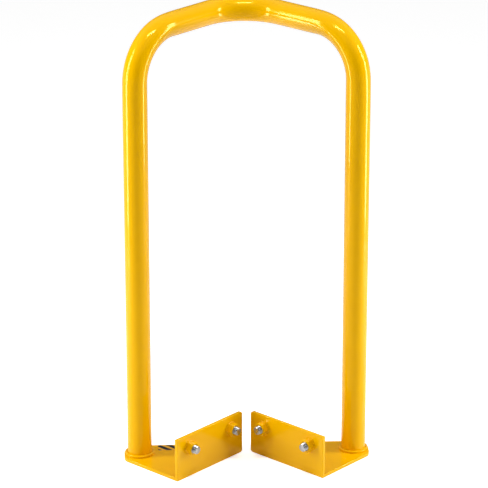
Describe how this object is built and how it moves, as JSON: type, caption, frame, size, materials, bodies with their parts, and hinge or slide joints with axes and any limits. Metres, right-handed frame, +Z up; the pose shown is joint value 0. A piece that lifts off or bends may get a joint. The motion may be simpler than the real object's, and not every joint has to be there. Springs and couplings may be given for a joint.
{
  "type": "corner hoop safety bollard",
  "caption": "Bent tube hoop on two welded feet whose upright plates form a right-angled corner, with screw clamps that bear on the guarded corner.",
  "frame": {"origin": "on the floor, below the middle of the guard's overall box", "axes": "+Z up, +X to the right across the two posts, +Y from the open side of the V towards the corner of the hoop"},
  "size_m": [0.5812, 0.3847, 1.0668],
  "materials": {
    "yellow_powder_coat": "gloss",
    "zinc_plated_steel": "satin",
    "label_film": "gloss"
  },
  "bodies": {
    "guard": {"hoop_tube": "yellow_powder_coat", "left_base_plate": "yellow_powder_coat", "left_upright_plate": "yellow_powder_coat", "left_post_weld": "yellow_powder_coat", "left_plate_weld": "yellow_powder_coat", "left_front_nut": "yellow_powder_coat", "left_front_nut_weld": "yellow_powder_coat", "left_rear_nut": "yellow_powder_coat", "left_rear_nut_weld": "yellow_powder_coat", "right_base_plate": "yellow_powder_coat", "right_upright_plate": "yellow_powder_coat", "right_post_weld": "yellow_powder_coat", "right_plate_weld": "yellow_powder_coat", "right_front_nut": "yellow_powder_coat", "right_front_nut_weld": "yellow_powder_coat", "right_rear_nut": "yellow_powder_coat", "right_rear_nut_weld": "yellow_powder_coat", "hazard_label": "label_film"},
    "left_front_washer": {"left_front_washer": "zinc_plated_steel"},
    "left_front_bolt": {"left_front_bolt": "zinc_plated_steel"},
    "left_rear_washer": {"left_rear_washer": "zinc_plated_steel"},
    "left_rear_bolt": {"left_rear_bolt": "zinc_plated_steel"},
    "right_front_washer": {"right_front_washer": "zinc_plated_steel"},
    "right_front_bolt": {"right_front_bolt": "zinc_plated_steel"},
    "right_rear_washer": {"right_rear_washer": "zinc_plated_steel"},
    "right_rear_bolt": {"right_rear_bolt": "zinc_plated_steel"}
  },
  "joints": [
    {"name": "left_front_bolt_travel", "type": "slide", "parent": "guard", "child": "left_front_washer", "axis": [-0.7071, 0.7071, 0], "range_m": [0, 0.01016]},
    {"name": "left_front_bolt_turn", "type": "hinge", "parent": "left_front_washer", "child": "left_front_bolt", "pos_m": [-0.13981, -0.16269, 0.074], "axis": [-0.7071, 0.7071, 0], "range_deg": [0, 1440]},
    {"name": "left_rear_bolt_travel", "type": "slide", "parent": "guard", "child": "left_rear_washer", "axis": [-0.7071, 0.7071, 0], "range_m": [0, 0.01016]},
    {"name": "left_rear_bolt_turn", "type": "hinge", "parent": "left_rear_washer", "child": "left_rear_bolt", "pos_m": [-0.0394, -0.06228, 0.074], "axis": [-0.7071, 0.7071, 0], "range_deg": [0, 1440]},
    {"name": "right_front_bolt_travel", "type": "slide", "parent": "guard", "child": "right_front_washer", "axis": [0.7071, 0.7071, 0], "range_m": [0, 0.01016]},
    {"name": "right_front_bolt_turn", "type": "hinge", "parent": "right_front_washer", "child": "right_front_bolt", "pos_m": [0.13981, -0.16269, 0.074], "axis": [0.7071, 0.7071, 0], "range_deg": [0, 1440]},
    {"name": "right_rear_bolt_travel", "type": "slide", "parent": "guard", "child": "right_rear_washer", "axis": [0.7071, 0.7071, 0], "range_m": [0, 0.01016]},
    {"name": "right_rear_bolt_turn", "type": "hinge", "parent": "right_rear_washer", "child": "right_rear_bolt", "pos_m": [0.0394, -0.06228, 0.074], "axis": [0.7071, 0.7071, 0], "range_deg": [0, 1440]}
  ],
  "couplings": [
    {"joint": "left_front_bolt_turn", "follows": "left_front_bolt_travel", "rad_per_m": 2473.7},
    {"joint": "left_rear_bolt_turn", "follows": "left_rear_bolt_travel", "rad_per_m": 2473.7},
    {"joint": "right_front_bolt_turn", "follows": "right_front_bolt_travel", "rad_per_m": 2473.7},
    {"joint": "right_rear_bolt_turn", "follows": "right_rear_bolt_travel", "rad_per_m": 2473.7}
  ]
}
